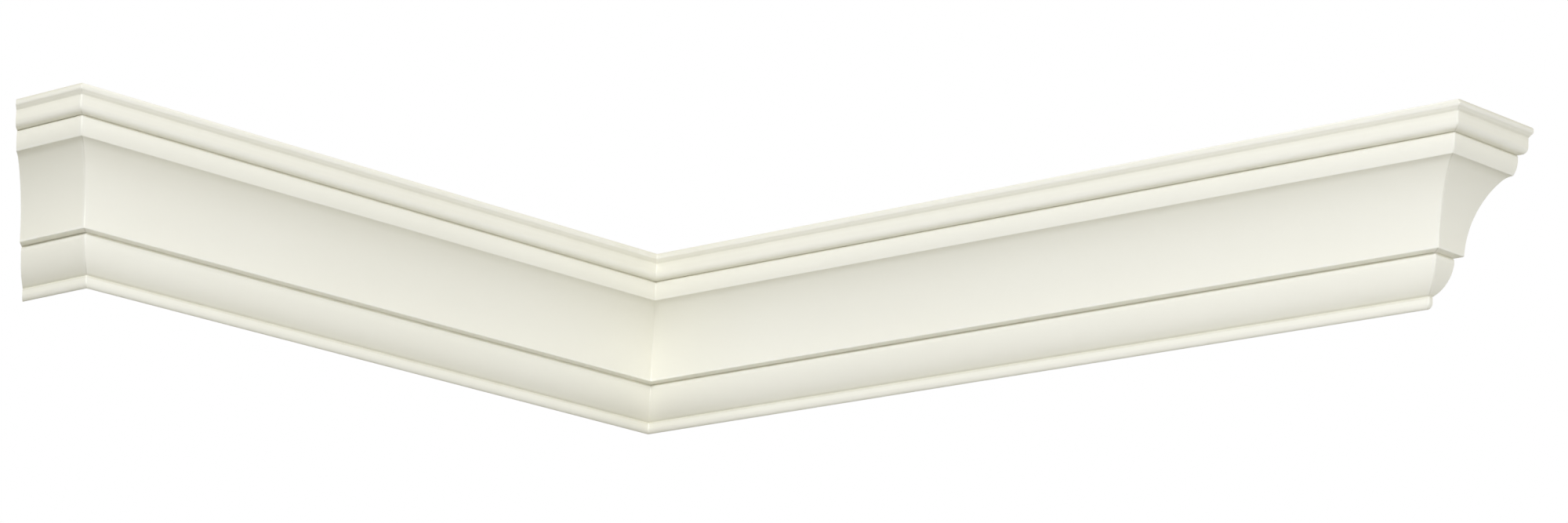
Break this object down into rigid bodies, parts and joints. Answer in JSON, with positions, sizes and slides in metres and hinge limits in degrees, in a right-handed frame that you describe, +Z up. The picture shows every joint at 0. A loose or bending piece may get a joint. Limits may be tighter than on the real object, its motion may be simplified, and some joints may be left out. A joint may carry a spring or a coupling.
{
  "type": "crown moulding length",
  "caption": "Painted wooden crown moulding mitred round a stepped wall, with nose, fascia, deep cove, ovolo and bead, and a return at each end.",
  "frame": {"origin": "centre of the flat wall foot behind the right run, which lies on the wall", "axes": "+X along the right run towards the right return, -Y out of the wall into the room, +Z up to the ceiling"},
  "size_m": [0.9395, 0.6805, 0.121],
  "materials": {
    "ivory_paint": "satin ivory paint on wood"
  },
  "bodies": {
    "root": {"left_return": "ivory_paint", "left_run": "ivory_paint", "right_run": "ivory_paint", "right_return": "ivory_paint"}
  },
  "joints": []
}
